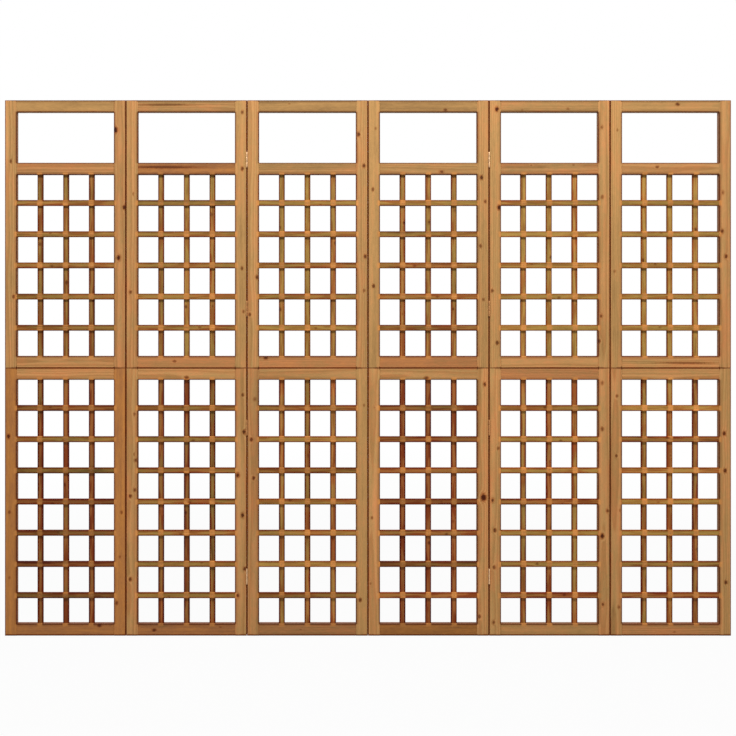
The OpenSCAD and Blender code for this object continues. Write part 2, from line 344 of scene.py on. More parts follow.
class TrellisFinish(PropertyGroup):
    """Colours of the stained fir, of the painted shade along its edges and of the plated metal."""

    frame_gold: colour("Frame gold", "Golden tone of the frames", (0.505, 0.285, 0.100))
    frame_russet: colour("Frame russet", "Reddish tone of the frames", (0.535, 0.222, 0.080))
    frame_umber: colour("Frame umber", "Deep tone of the frames", (0.530, 0.222, 0.056))
    slat_gold: colour("Slat gold", "Golden tone of the slats", (0.432, 0.262, 0.062))
    slat_russet: colour("Slat russet", "Reddish tone of the slats", (0.416, 0.162, 0.042))
    slat_umber: colour("Slat umber", "Deep tone of the slats", (0.340, 0.110, 0.028))
    lap: colour("Crossing", "Tone of a slat's face where two slats cross", (0.645, 0.268, 0.070))
    heartwood: colour("Heartwood", "Tint of the dark bands along the slats", (0.62, 0.37, 0.30))
    late: colour("Late wood", "Tint of the dark part of each year ring", (0.62, 0.47, 0.36))
    knot: colour("Knot", "Tint of a knot's heart", (0.17, 0.085, 0.04))
    knot_rim: colour("Knot rim", "Tint of the wood round a knot", (0.66, 0.44, 0.30))
    # Tints of the painted shade along the edges of the frames, the uprights and the crossbars
    frame_rim: colour("Frame edge", "Tint of the stain on the frames' edges", (0.27, 0.092, 0.010))
    upright_rim: colour("Upright edge", "Tint of the stain on the uprights' edges", (0.56, 0.240, 0.075))
    crossbar_rim: colour("Crossbar edge", "Tint of the stain on the crossbars' edges", (0.70, 0.400, 0.150))
    brad: colour("Brads", "Colour of the brads' heads", (0.360, 0.250, 0.150))
    zinc: colour("Plating", "Colour of the plated hinges and screws", (0.720, 0.470, 0.265))
    # Darker colour that the hinges nearest the seam take
    tarnish: colour("Tarnish", "Colour of the plating where it has tarnished", (0.460, 0.225, 0.090))


class TrellisStage(PropertyGroup):
    """Camera, light and floor."""

    view_w: length("View width", "Width that the camera takes in at the screen's front", 2.474)
    eye_distance: length("Eye distance", "From the camera to the screen's front", 3.5)
    eye_height: length("Eye height", "Height of the camera over the floor", 1.15)
    eye_aside: length("Eye aside", "From the screen's middle to the camera, along the screen", -0.2035)
    sensor_w: plain("Sensor width", "Width of the camera's sensor, in mm", 36.0)
    key_power: power("Key power", "Power of the front light", 150.0)
    back_power: power("Back power", "Power of the light behind", 70.0)
    fill: share("Fill", "Strength of the light from all round", 0.30)
    floor_grey: share("Floor grey", "Tone of the floor under the shadow", 0.5)
    floor_shadow: share("Floor shadow", "Share of the floor's tone that takes shadow", 0.045)


# Selection and shaping


def alone(piece):
    """Makes one object the only selected one, and the active one."""
    bpy.ops.object.select_all(action="DESELECT")
    piece.select_set(True)
    bpy.context.view_layer.objects.active = piece


@contextmanager
def editing(piece, kind="FACE", chosen=lambda *part: True):
    """Edit mode on one object with only the chosen faces or edges selected."""
    alone(piece)
    bpy.ops.object.mode_set(mode="EDIT")
    bpy.ops.mesh.select_mode(type=kind)
    bpy.ops.mesh.select_all(action="DESELECT")
    bpy.ops.object.mode_set(mode="OBJECT")
    points = piece.data.vertices
    if kind == "FACE":
        for face in piece.data.polygons:
            face.select = chosen(face.center, face.normal)
    else:
        for edge in piece.data.edges:
            edge.select = chosen(*(points[i].co for i in edge.vertices))
    bpy.ops.object.mode_set(mode="EDIT")
    yield
    bpy.ops.object.mode_set(mode="OBJECT")


def extrude(*move):
    """Extrudes the selected faces by a move."""
    bpy.ops.mesh.extrude_region_move(TRANSFORM_OT_translate={"value": move})


def round_off(piece, chosen, radius, steps):
    """Rounds the chosen edges of a piece."""
    with editing(piece, "EDGE", chosen):
        bpy.ops.mesh.bevel(offset=radius, segments=steps, affect="EDGES")


def smooth(piece):
    """Shades a piece smoothly, apart from its sharp edges."""
    alone(piece)
    bpy.ops.object.shade_smooth_by_angle(angle=SMOOTH_ANGLE)


def block(low, high):
    """Adds a block between two corners, with its place in its mesh."""
    low, high = Vector(low), Vector(high)
    bpy.ops.object.select_all(action="DESELECT")
    bpy.ops.mesh.primitive_cube_add(size=1, location=(low + high) / 2)
    piece = bpy.context.object
    piece.scale = high - low
    bpy.ops.object.transform_apply(location=True, rotation=True, scale=True)
    return piece


def rod(start, end, diameter, sides, end_diameter=None):
    """Adds a round bar or a cone from one point to another along one axis, with its place in its mesh."""
    start, end = Vector(start), Vector(end)
    along = end - start
    bpy.ops.object.select_all(action="DESELECT")
    bpy.ops.mesh.primitive_cone_add(
        vertices=sides,
        radius1=diameter / 2,
        radius2=(diameter if end_diameter is None else end_diameter) / 2,
        depth=along.length,
        location=(start + end) / 2,
        rotation=along.to_track_quat("Z", "Y").to_euler(),
    )
    piece = bpy.context.object
    bpy.ops.object.transform_apply(location=True, rotation=True, scale=True)
    return piece


def joined(pieces):
    """Joins several objects into the first."""
    bpy.ops.object.select_all(action="DESELECT")
    for piece in pieces:
        piece.select_set(True)
    bpy.context.view_layer.objects.active = pieces[0]
    bpy.ops.object.join()
    return pieces[0]


def combine(piece, others, operation):
    """Cuts other shapes from a piece, or unites them with it."""
    for other in others:
        alone(piece)
        modifier = piece.modifiers.new("combine", "BOOLEAN")
        modifier.operation = operation
        modifier.solver = "EXACT"
        modifier.object = other
        bpy.ops.object.modifier_apply(modifier=modifier.name)
        bpy.data.objects.remove(other)


def cut(piece, cutters):
    """Cuts shapes that don't touch each other from a piece, in one go."""
    if cutters:
        combine(piece, [joined(cutters)], "DIFFERENCE")


def pocket(low, high):
    """Adds a cutter for what goes in between two corners, with the joints' clearance round it."""
    fit = bpy.context.scene.trellis_frame.fit
    return block([place - fit for place in low], [place + fit for place in high])


def copied(master, matrix):
    """Gives a copy of a piece with a mesh of its own, moved by a matrix."""
    piece = master.copy()
    piece.data = master.data.copy()
    piece.data.transform(matrix)
    if matrix.determinant() < 0:
        piece.data.flip_normals()
    bpy.context.scene.collection.objects.link(piece)
    return piece


def dispose(masters):
    """Removes the pieces that were only there to be copied."""
    for master in masters:
        bpy.data.objects.remove(master)


def hand_over(parts, panel, name, material, node=None):
    """Joins parts into a named piece with its finish, and lets it ride on its panel in place of its node."""
    piece = joined(parts)
    piece.name = f"panel_{panel}_{name}"
    piece.data.name = piece.name
    piece.data.materials.clear()
    piece.data.materials.append(material)
    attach(piece, f"panel_{panel}")
    if node:
        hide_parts(f"panel_{panel}_{node}")


# Plan of a panel, measured from its left edge


def levels():
    """The two frames of a panel, each with its lattice bay, its rails and the heights of its crossbars."""
    sizes = bpy.context.scene.trellis_frame
    lattice = bpy.context.scene.trellis_lattice
    rail_w = sizes.rail_w
    transom_z = HEAD_Z - rail_w - sizes.window_h - sizes.transom_w
    transom = (transom_z, transom_z + sizes.transom_w)
    lower_rails = [(FOOT_Z, FOOT_Z + rail_w), (SEAM_Z - rail_w, SEAM_Z)]
    upper_rails = [(SEAM_Z, SEAM_Z + rail_w), transom, (HEAD_Z - rail_w, HEAD_Z)]
    for name, rails, bars in (
        ("lower", lower_rails, lattice.lower_bars),
        ("upper", upper_rails, lattice.upper_bars),
    ):
        bay = (rails[0][1], rails[1][0])
        yield Level(name, rails[0][0], rails[-1][1], bay, rails, evenly(*bay, bars, lattice.slat_w))


def evenly(start, end, number, width):
    """Centres of slats of one width that leave equal gaps between two ends."""
    gap = (end - start - number * width) / (number + 1)
    return [start + i * gap + (i - 0.5) * width for i in range(1, number + 1)]


def upright_places():
    """Distances of the uprights from a panel's left edge."""
    stile_w = bpy.context.scene.trellis_frame.stile_w
    lattice = bpy.context.scene.trellis_lattice
    return evenly(stile_w, PANEL_W - stile_w, lattice.uprights, lattice.slat_w)


def joining_places():
    """Distances of the joining screws from a panel's left edge, in the middle of the outer cells."""
    stile_w = bpy.context.scene.trellis_frame.stile_w
    first = upright_places()[0] - bpy.context.scene.trellis_lattice.slat_w / 2
    middle = (stile_w + first) / 2
    return [middle, PANEL_W - middle]


def tenon_box(z0, z1):
    """Corners of the bar that stands out of a rail's ends as its tenons."""
    sizes = bpy.context.scene.trellis_frame
    end_x = sizes.stile_w - sizes.tenon_l
    half_t = sizes.tenon_t / 2
    return (end_x, -half_t, z0 + sizes.shoulder), (PANEL_W - end_x, half_t, z1 - sizes.shoulder)


def upright_box(level, x):
    """Corners of an upright with its housed ends."""
    lattice = bpy.context.scene.trellis_lattice
    half_w = lattice.slat_w / 2
    z0, z1 = level.bay[0] - lattice.housing, level.bay[1] + lattice.housing
    return (x - half_w, SLAT_MEETING_Y, z0), (x + half_w, UPRIGHT_BACK_Y, z1)


def crossbar_box(z):
    """Corners of a crossbar with its housed ends."""
    lattice = bpy.context.scene.trellis_lattice
    half_w = lattice.slat_w / 2
    end_x = bpy.context.scene.trellis_frame.stile_w - lattice.housing
    return (end_x, CROSSBAR_FRONT_Y, z - half_w), (PANEL_W - end_x, SLAT_MEETING_Y, z + half_w)


def hinge_heights(level):
    """Heights of the middles of a frame's hinges."""
    inset = bpy.context.scene.trellis_hinge.inset
    return [level.foot + inset, level.head - inset]


def barrel_side(line):
    """Side that a hinge line's barrels stand on: 1 behind, -1 in front, 0 where the screen ends."""
    return math.copysign(1, HINGE_AXES[line].y) if line in LINES else 0


# Boards


def board(low, high, along, ease, end_ease):
    """Models one board between two corners, divided into short lengths, with rounded edges."""
    piece = block(low, high)
    ends = (low[along], high[along])

    def runs_along(a, b):
        return abs(a[along] - b[along]) > MAINLY * (a - b).length

    def lies_at_an_end(a, b):
        return any(abs(a[along] - end) + abs(b[along] - end) < NEAR for end in ends)

    with editing(piece, "EDGE", runs_along):
        bpy.ops.mesh.subdivide(number_cuts=round((ends[1] - ends[0]) / BOARD_STEP) - 1)
    round_off(piece, runs_along, ease, EASE_STEPS)
    round_off(piece, lies_at_an_end, end_ease, END_STEPS)
    return piece


def note(mesh, name, domain, values):
    """Keeps a vector for each point or face of a mesh under a name that the finishes read."""
    mesh.attributes.new(name, "FLOAT_VECTOR", domain).data.foreach_set("vector", values)


def marked(piece, low, high, along, laps, housed=0, ends_show=True):
    """Notes on a board's mesh how it was sawn, with its half sizes and the laps where others meet it.

    A lap is its place along the board, its side, or 0 for the whole width, and its half width. The board
    that this gives has its middle, and half of the length and width that show beside its housed ends.
    """
    middle = (Vector(low) + Vector(high)) / 2
    half = (Vector(high) - Vector(low)) / 2
    if not ends_show:
        half[along] = HIDDEN_END
    order = (along, 1, 2 - along)
    mesh = piece.data
    note(mesh, "grain", "POINT", [vertex.co[i] - middle[i] for vertex in mesh.vertices for i in order])
    note(mesh, "half", "POINT", [half[i] for i in order] * len(mesh.vertices))
    nearest = []
    for face in mesh.polygons:
        place = face.center[along]
        lap = min(laps, key=lambda lap: abs(lap[0] - place) - lap[2], default=None)
        nearest.extend((lap[0] - middle[along], lap[1], lap[2]) if lap else NO_LAP)
    note(mesh, "lap", "FACE", nearest)
    start, end, width = low[along], high[along], high[2 - along] - low[2 - along]
    return Board(piece, along, (start + end) / 2, (end - start) / 2 - housed, width / 2)


def laid(master, panel, name, knots=None, x=0, z=0):
    """Copies a board to its place in a panel, with a tone of its own and its knots, or some by chance."""
    knots = chance_knots(master, panel, name) if knots is None else knots
    shift = Vector((PANEL_LEFTS[panel] + x, 0, z))
    piece = copied(master.piece, Matrix.Translation(shift))
    mesh = piece.data
    note(mesh, "board", "POINT", character(panel, name) * len(mesh.vertices))
    middle = master.middle + shift[master.along]
    nearest = []
    for face in mesh.polygons:
        place = face.center[master.along] - middle
        nearest.extend(min(knots, key=lambda knot: abs(knot[0] - place), default=NO_KNOT))
    note(mesh, "knot", "FACE", nearest)
    return piece


def character(panel, name):
    """A board's own tone, warmth and seed, drawn for its panel and name."""
    draw = random.Random(f"panel_{panel}_{name}")
    kind = next(kind for kind in BOARD_KINDS if kind in name)
    tone, tone_spread, warmth, warmth_spread = BOARD_KINDS[kind]
    tone += draw.uniform(-tone_spread, tone_spread)
    warmth += draw.uniform(-warmth_spread, warmth_spread)
    if "upright" in kind or "crossbar" in kind:
        tone += PANEL_SLATS[panel][0]
        warmth += PANEL_SLATS[panel][1]
    tone, warmth = BOARD_TONES.get(name, {}).get(panel, (tone, warmth))
    return [tone, warmth, draw.random()]


def chance_knots(master, panel, name):
    """Draws knots for a board: place along, place across and radius, well apart from each other."""
    numbers, radii = next(CHANCE_KNOTS[kind] for kind in CHANCE_KNOTS if kind in name)
    number = random.Random(f"panel_{panel}_{name}").choice(numbers)
    draw = random.Random(f"panel_{panel}_{name}_knots")
    knots = []
    for i in range(number):
        span = 2 * master.half_l / number
        along = -master.half_l + (i + draw.uniform(0.3, 0.7)) * span
        across = draw.uniform(-0.7, 0.7) * master.half_w
        knots.append((along, across, draw.uniform(*radii) * MM))
    return knots


# Finishes


def does(operation):
    """A method that does a sum on a field, and on another field or a number."""

    def method(field, *others):
        return field.wiring.sum(operation, field, *others)

    return method


class Field:
    """A number that varies over a surface, and the sums that nodes do on it."""

    def __init__(self, wiring, socket):
        self.wiring = wiring
        self.socket = socket

    __add__ = does("ADD")
    __sub__ = does("SUBTRACT")
    __mul__ = does("MULTIPLY")
    __truediv__ = does("DIVIDE")
    __pow__ = does("POWER")
    __lt__ = does("LESS_THAN")
    __abs__ = does("ABSOLUTE")


class Wiring:
    """Adds nodes to a material or to the world, and links them."""

    def __init__(self, owner):
        owner.use_nodes = True
        self.owner = owner
        self.tree = owner.node_tree

    def add(self, kind, inputs=(), **settings):
        """A node with its settings, and with values or links on its first inputs."""
        node = self.tree.nodes.new(kind)
        for key, value in settings.items():
            setattr(node, key, value)
        for socket, value in zip(node.inputs, inputs):
            self.put(socket, value)
        return node

    def put(self, socket, value):
        """Links a field or an output to an input, or sets the input's own value."""
        value = value.socket if isinstance(value, Field) else value
        if isinstance(value, bpy.types.NodeSocket):
            self.tree.links.new(value, socket)
        elif value is not None:
            socket.default_value = value

    def finish(self, **inputs):
        """Puts values or links on the inputs of the material's shader."""
        shader = self.tree.nodes["Principled BSDF"]
        for name, value in inputs.items():
            self.put(shader.inputs[name.replace("_", " ")], value)
        return shader

    def sum(self, operation, *values):
        """The result of a sum on numbers."""
        return Field(self, self.add("ShaderNodeMath", values, operation=operation).outputs[0])

    def place(self):
        """A surface's own place."""
        return self.add("ShaderNodeTexCoord").outputs["Object"]

    def noted(self, name):
        """The vector that the mesh carries under a name."""
        return self.add("ShaderNodeAttribute", attribute_name=name).outputs["Vector"]

    def split(self, vector):
        """The three parts of a vector."""
        return [Field(self, part) for part in self.add("ShaderNodeSeparateXYZ", [vector]).outputs]

    def blend(self, factor, first, second, kind="MIX"):
        """One colour blended with another."""
        node = self.add("ShaderNodeMix", data_type="RGBA", blend_type=kind, clamp_factor=True)
        self.put(node.inputs[0], factor)
        for socket, value in ((node.inputs[6], first), (node.inputs[7], second)):
            self.put(socket, value if isinstance(value, bpy.types.NodeSocket) else (*value, 1))
        return node.outputs[2]

    def fade(self, value, start, end):
        """A smooth step from 0 at one value to 1 at another, which may be the lower one."""
        node = self.add("ShaderNodeMapRange", [value, start, end], interpolation_type="SMOOTHSTEP")
        return Field(self, node.outputs[0])

    def noise(self, vector, scale, shift, detail, roughness):
        """Soft noise from 0 to 1 at a scale of a vector."""
        place = self.add("ShaderNodeVectorMath", [vector, scale, shift], operation="MULTIPLY_ADD").outputs[0]
        return Field(self, self.add("ShaderNodeTexNoise", [place, None, 1.0, detail, roughness]).outputs[0])

    def relief(self, height, strength, depth):
        """Fine relief of a surface."""
        bump = self.add("ShaderNodeBump", [strength, depth])
        self.put(bump.inputs["Height"], height)
        return bump.outputs[0]


class FirWiring(Wiring):
    """Adds the nodes of stained fir, whose rings, fibres, knots and painted edge shade follow each board."""

    def __init__(self, owner, kind):
        super().__init__(owner)
        self.is_slat = kind != "frame"
        self.stain = SHADES_AND_STAINS[kind]
        self.tints = bpy.context.scene.trellis_finish
        # Tint of the painted shade along this kind of board's edges
        self.rim = getattr(self.tints, kind + "_rim")
        self.grain = self.noted("grain")
        self.along, self.through, self.across = self.split(self.grain)
        self.tone, self.hue, self.seed = self.split(self.noted("board"))
        half_l, half_t, half_w = self.split(self.noted("half"))
        self.to_end = half_l - abs(self.along)
        self.to_face = half_t - abs(self.through)
        self.to_side = half_w - abs(self.across)
        self.height = self.split(self.place())[2]
        self.drift = self.add("ShaderNodeCombineXYZ", [self.seed * step for step in DRIFT_STEPS]).outputs[0]
        self.patterns = {}

    def pattern(self, name):
        """Noise from 0 to 1 that is drawn out along the grain."""
        if name not in self.patterns:
            along, across, detail, roughness = PATTERNS[name]
            scale = (along, across, across)
            self.patterns[name] = self.noise(self.grain, scale, self.drift, detail, roughness)
        return self.patterns[name]

    def varied(self, value, **amounts):
        """A number with patterns added to it, each round its middle and by its own amount."""
        for name, amount in amounts.items():
            value = value + (self.pattern(name) - 0.5) * amount
        return value

    def find_knots(self):
        """Finds the nearest knot's heart, the stained wood round it and how far it bends the rings."""
        knot_along, knot_across, size = self.split(self.noted("knot"))
        radius = abs(size)
        is_streak = size < 0.0
        run = (self.along - knot_along) * (is_streak * (STREAK_OVAL - KNOT_OVAL) + KNOT_OVAL)
        aside = self.across - knot_across
        reach = self.varied((run * run + aside * aside) ** 0.5 / radius, wobble=1.0)
        depth = self.sum("MAXIMUM", self.fade(radius, 0.0015, 0.0060), is_streak * 0.45)
        self.heart = self.fade(reach, 1.20, 0.60) * depth
        self.collar = self.fade(reach, 2.0, 0.9) * (depth * 0.5 + 0.45)
        self.bend = self.sum("EXPONENT", reach * reach * -0.45) * radius

    def find_rings(self):
        """Finds the late wood of the year rings, round a pith that lies beside the board."""
        aside = self.across - (self.hue * 0.13 - 0.055)
        below = self.through - (self.seed * 0.045 + 0.020)
        rings = self.varied((aside * aside + below * below) ** 0.5 + self.bend, sway=0.010)
        phase = self.sum("FRACT", rings / RING_W)
        self.late = self.fade(phase, 0.15, 0.85) * self.fade(phase, 1.0, 0.86)

    def find_laps(self):
        """Finds the laps, where another board meets this one and keeps the painted edge shade off it."""
        lap_along, lap_side, self.lap_half = self.split(self.noted("lap"))
        past = self.varied(abs(self.along - lap_along) - self.lap_half, wobble=0.004)
        self.is_sided = abs(lap_side)
        self.this_side = self.fade(self.across * lap_side + (self.is_sided * -1 + 1), -0.004, 0.006)
        lapped = self.fade(past, 0.0020, -0.0045) * self.this_side
        self.lapped = lapped * self.fade(self.to_end, 0.003, 0.006)

    def body(self):
        """The wood's colour, from gold over russet to umber, with the paler laps."""
        tones = "slat" if self.is_slat else "frame"
        names = ("gold", "russet", "umber")
        gold, russet, umber = (getattr(self.tints, f"{tones}_{name}") for name in names)
        warmth = self.varied(self.hue, cloud=self.stain.hue_mottle, fleck=1.2, streak=1.2)
        body = self.blend(warmth - 1.0, self.blend(warmth, gold, russet), umber)
        if self.is_slat:
            # Bands of dark heartwood run along a slat
            band = self.fade(self.pattern("band"), 0.46, 0.60) * (self.hue * 0.35 + 0.65)
            body = self.blend(band, body, self.tints.heartwood, "MULTIPLY")
            pale = self.lapped * (self.pattern("cloud") * 0.6 + 0.6)
        else:
            pale = self.fade(self.to_side, 0.014, 0.004) * (self.lap_half < SLAT_LAP) * self.lapped * 0.8
        return self.blend(pale, body, self.tints.lap)

    def shaded(self, body):
        """The wood's colour with its tone, its fibres, its resin canals and its late wood."""
        value = self.tone * 0.50 + 0.70
        if self.is_slat:
            value = value + (self.height < SEAM_Z) * self.stain.low_shift
        value = self.varied(value, streak=0.8, cloud=self.stain.tone_mottle, fibre=0.44, fleck=0.36)
        value = value - self.fade(self.pattern("canal"), 0.66, 0.78) * 0.22
        toned = self.add("ShaderNodeHueSaturation", [0.5, 1.0, value, 1.0, body]).outputs[0]
        return self.blend(self.late * 0.46, toned, self.tints.late, "MULTIPLY")

    def edge_shaded(self, toned):
        """The wood's colour with painted shade along its edges, which fades in from them."""
        near = self.sum("MINIMUM", self.to_side, self.to_face)
        far = self.sum("MAXIMUM", self.to_side, self.to_face)
        rim_w = self.stain.rim_w
        margin = self.sum("MAXIMUM", near, self.sum("MINIMUM", far, self.to_end * 1.8))
        margin = self.varied(margin, cloud=-0.5 * rim_w)
        # Painted shade in a narrow line along the edges
        edge = self.fade(margin, rim_w, 0.45 * rim_w)
        if self.is_slat:
            # The painted shade reaches further in on the lower slats and on the deeper-toned ones
            strength = (self.height < SEAM_Z) * 0.8 + (self.tone * -1.2 + 1.1)
        else:
            # More painted shade on the inner half of the frame and on the faces round the openings, and
            # painted shade along the foot
            strength = self.this_side * 0.5
            inside_shade = self.is_sided * self.this_side * self.fade(self.to_side, 0.0014, 0.0004)
            # Painted shade along the foot, where the frame meets the floor
            foot = self.fade(self.height, *(FOOT_Z + height for height in FOOT_SHADE))
            edge = self.sum("MAXIMUM", edge, self.sum("MAXIMUM", inside_shade * 0.6, foot))
        # Painted edge shade, left off the laps
        toned = self.blend(edge * (self.lapped * -0.85 + 0.95), toned, self.rim, "MULTIPLY")
        # Painted shade that fades in from the edges, left off the laps
        shade_bleed = self.fade(margin, self.stain.bleed_w, 0.0) * strength * (self.lapped * -1 + 1)
        return self.blend(shade_bleed, toned, self.rim, "MULTIPLY")

    def knotted(self, toned):
        """The wood's colour with its knots."""
        toned = self.blend(self.collar, toned, self.tints.knot_rim, "MULTIPLY")
        return self.blend(self.heart, toned, self.tints.knot, "MULTIPLY")


def fir(kind):
    """Finish of the frames, of the uprights or of the crossbars."""
    name = f"stained_{kind}_fir"
    if name in bpy.data.materials:
        return bpy.data.materials[name]
    w = FirWiring(bpy.data.materials.new(name), kind)
    w.find_knots()
    w.find_rings()
    w.find_laps()
    w.finish(
        Base_Color=w.knotted(w.edge_shaded(w.shaded(w.body()))),
        Roughness=w.pattern("cloud") * 0.2 + 0.55 - w.late * 0.12,
        Specular_IOR_Level=0.12,
        Normal=w.relief(w.pattern("fibre") * 0.6 + w.heart * 0.4 + w.late * 0.5, 0.35, 0.0003),
    )
    return w.owner


def plating(name):
    """Warm metal plating with fine drawing lines and dull patches."""
    if name in bpy.data.materials:
        return bpy.data.materials[name]
    tints = bpy.context.scene.trellis_finish
    tint_name, rough = METALS[name]
    tint = getattr(tints, tint_name)
    w = Wiring(bpy.data.materials.new(name))
    place = w.place()
    drawn = w.noise(place, (900, 900, 9000), None, 2.0, 0.5)
    dull = w.noise(place, (260, 260, 260), None, 3.0, 0.6)
    base = w.blend(w.fade(dull, 0.35, 0.8), tint, [0.72 * part for part in tint])
    # The hinges nearest the seam are darker
    darkened = w.split(w.noted("tarnish"))[0]
    w.finish(
        Base_Color=w.blend(darkened, base, tints.tarnish),
        Roughness=dull * 0.25 + (drawn * 0.12 + rough),
        Metallic=1.0,
        Normal=w.relief(drawn, 0.15, 0.0001),
    )
    return w.owner


# Pieces


def stile(level, side, barrel):
    """Models a stile with its mortises, its slat housings and the recesses for its hinge leaves."""
    sizes = bpy.context.scene.trellis_frame
    lattice = bpy.context.scene.trellis_lattice
    hinge = bpy.context.scene.trellis_hinge
    left = 0 if side == "left" else PANEL_W - sizes.stile_w
    low, high = (left, FRONT_Y, level.foot), (left + sizes.stile_w, BACK_Y, level.head)
    post = board(low, high, 2, sizes.ease, sizes.end_ease)
    cutters = [pocket(*tenon_box(z0, z1)) for z0, z1 in level.rails]
    cutters += [pocket(*crossbar_box(z)) for z in level.bars]
    if barrel:
        outer_x = (-OVER, hinge.leaf_t) if side == "left" else (PANEL_W - hinge.leaf_t, PANEL_W + OVER)
        edge_y = barrel * (BARREL_OUT - hinge.leaf_w - hinge.leaf_fit)
        open_y = barrel * (BACK_Y + OVER)
        reach = hinge.height / 2 + hinge.leaf_fit
        for z in hinge_heights(level):
            corner = (outer_x[0], min(edge_y, open_y), z - reach)
            cutters.append(block(corner, (outer_x[1], max(edge_y, open_y), z + reach)))
    cut(post, cutters)
    inner = 1 if side == "left" else -1
    laps = [((z0 + z1) / 2, inner, (z1 - z0) / 2) for z0, z1 in level.rails]
    laps += [(z, inner, lattice.slat_w / 2) for z in level.bars]
    return marked(post, low, high, 2, laps)


def stile_knots(master, panel, level, side, name):
    """The knots of one stile, from its middle."""
    middle = (level.foot + level.head) / 2
    knots = [
        (z * MM - middle, across * MM, radius * MM)
        for z, across, radius in STILE_KNOTS[panel, side]
        if level.foot < z * MM < level.head
    ]
    if len(knots) < STILE_KNOTS_LEAST:
        knots += chance_knots(master, panel, name)
    return knots


class TRELLIS_OT_stiles(Operator):
    """Models the stiles of both frames of every panel"""

    bl_idname = "trellis.stiles"
    bl_label = "Stiles"

    def execute(self, context):
        masters = {}
        for level in levels():
            for p in PANELS:
                posts = []
                for side, line in (("left", p - 1), ("right", p)):
                    key = (level.name, side, barrel_side(line))
                    if key not in masters:
                        masters[key] = stile(level, side, barrel_side(line))
                    name = f"{level.name}_{side}_stile"
                    knots = stile_knots(masters[key], p, level, side, name)
                    posts.append(laid(masters[key], p, name, knots))
                name = f"{level.name}_stile_boards"
                hand_over(posts, p, name, fir("frame"), f"{level.name}_stiles")
        dispose(master.piece for master in masters.values())
        return {"FINISHED"}


def rail(level, z0, z1):
    """Models a rail with its tenons, its slat housings and the holes for the joining screws."""
    sizes = bpy.context.scene.trellis_frame
    hinge = bpy.context.scene.trellis_hinge
    low, high = (sizes.stile_w, FRONT_Y, z0), (PANEL_W - sizes.stile_w, BACK_Y, z1)
    beam = board(low, high, 0, sizes.ease, sizes.end_ease)
    combine(beam, [block(*tenon_box(z0, z1))], "UNION")
    half_w = bpy.context.scene.trellis_lattice.slat_w / 2
    sides = [side for side, edge in ((1, z1), (-1, z0)) if edge in level.bay]
    laps = [(x, side, half_w) for side in sides for x in upright_places()]
    cutters = [pocket(*upright_box(level, lap[0])) for lap in laps]
    if SEAM_Z in (z0, z1):
        head_z = SEAM_Z - sizes.rail_w
        tip_z = head_z + hinge.joiner_l + sizes.fit
        shank = hinge.joiner_d + 2 * sizes.fit
        for x in joining_places():
            cutters.append(rod((x, 0, head_z - OVER), (x, 0, tip_z), shank, HOLE_SIDES))
    cut(beam, cutters)
    return marked(beam, low, high, 0, laps, ends_show=False)


def rail_knots(master, panel, name):
    """The streak or knot that shows on one rail, from its middle, or else what chance gives it."""
    if (panel, name) in RAIL_KNOTS:
        return [[value * MM for value in RAIL_KNOTS[panel, name]]]
    return chance_knots(master, panel, name)


class TRELLIS_OT_rails(Operator):
    """Models the rails of both frames of every panel"""

    bl_idname = "trellis.rails"
    bl_label = "Rails"

    def execute(self, context):
        for level in levels():
            masters = [rail(level, z0, z1) for z0, z1 in level.rails]
            for p in PANELS:
                beams = []
                for i, master in enumerate(masters):
                    name = f"{level.name}_rail_{i}"
                    beams.append(laid(master, p, name, rail_knots(master, p, name)))
                name = f"{level.name}_rail_boards"
                hand_over(beams, p, name, fir("frame"), f"{level.name}_rails")
            dispose(master.piece for master in masters)
        return {"FINISHED"}


def slat(low, high, along, crossings):
    """Models a slat, with the laps where others cross it."""
    lattice = bpy.context.scene.trellis_lattice
    piece = board(low, high, along, lattice.ease, bpy.context.scene.trellis_frame.end_ease)
    laps = [(place, 0, lattice.slat_w / 2) for place in crossings]
    return marked(piece, low, high, along, laps, housed=lattice.housing)


class TRELLIS_OT_uprights(Operator):
    """Models the upright slats in the back layer of the lattice"""

    bl_idname = "trellis.uprights"
    bl_label = "Uprights"

    def execute(self, context):
        masters = [slat(*upright_box(level, 0), 2, level.bars) for level in levels()]
        for p in PANELS:
            slats = [
                laid(master, p, f"{level.name}_upright_{i}", x=x)
                for i, x in enumerate(upright_places())
                for level, master in zip(levels(), masters)
            ]
            hand_over(slats, p, "upright_slats", fir("upright"), "lattice_uprights")
        dispose(master.piece for master in masters)
        return {"FINISHED"}


class TRELLIS_OT_crossbars(Operator):
    """Models the crossbars in the front layer of the lattice"""

    bl_idname = "trellis.crossbars"
    bl_label = "Crossbars"

    def execute(self, context):
        master = slat(*crossbar_box(0), 0, upright_places())
        for p in PANELS:
            slats = [
                laid(master, p, f"{level.name}_crossbar_{i}", z=z)
                for level in levels()
                for i, z in enumerate(level.bars)
            ]
            hand_over(slats, p, "crossbar_slats", fir("crossbar"), "lattice_crossbars")
        dispose([master.piece])
        return {"FINISHED"}


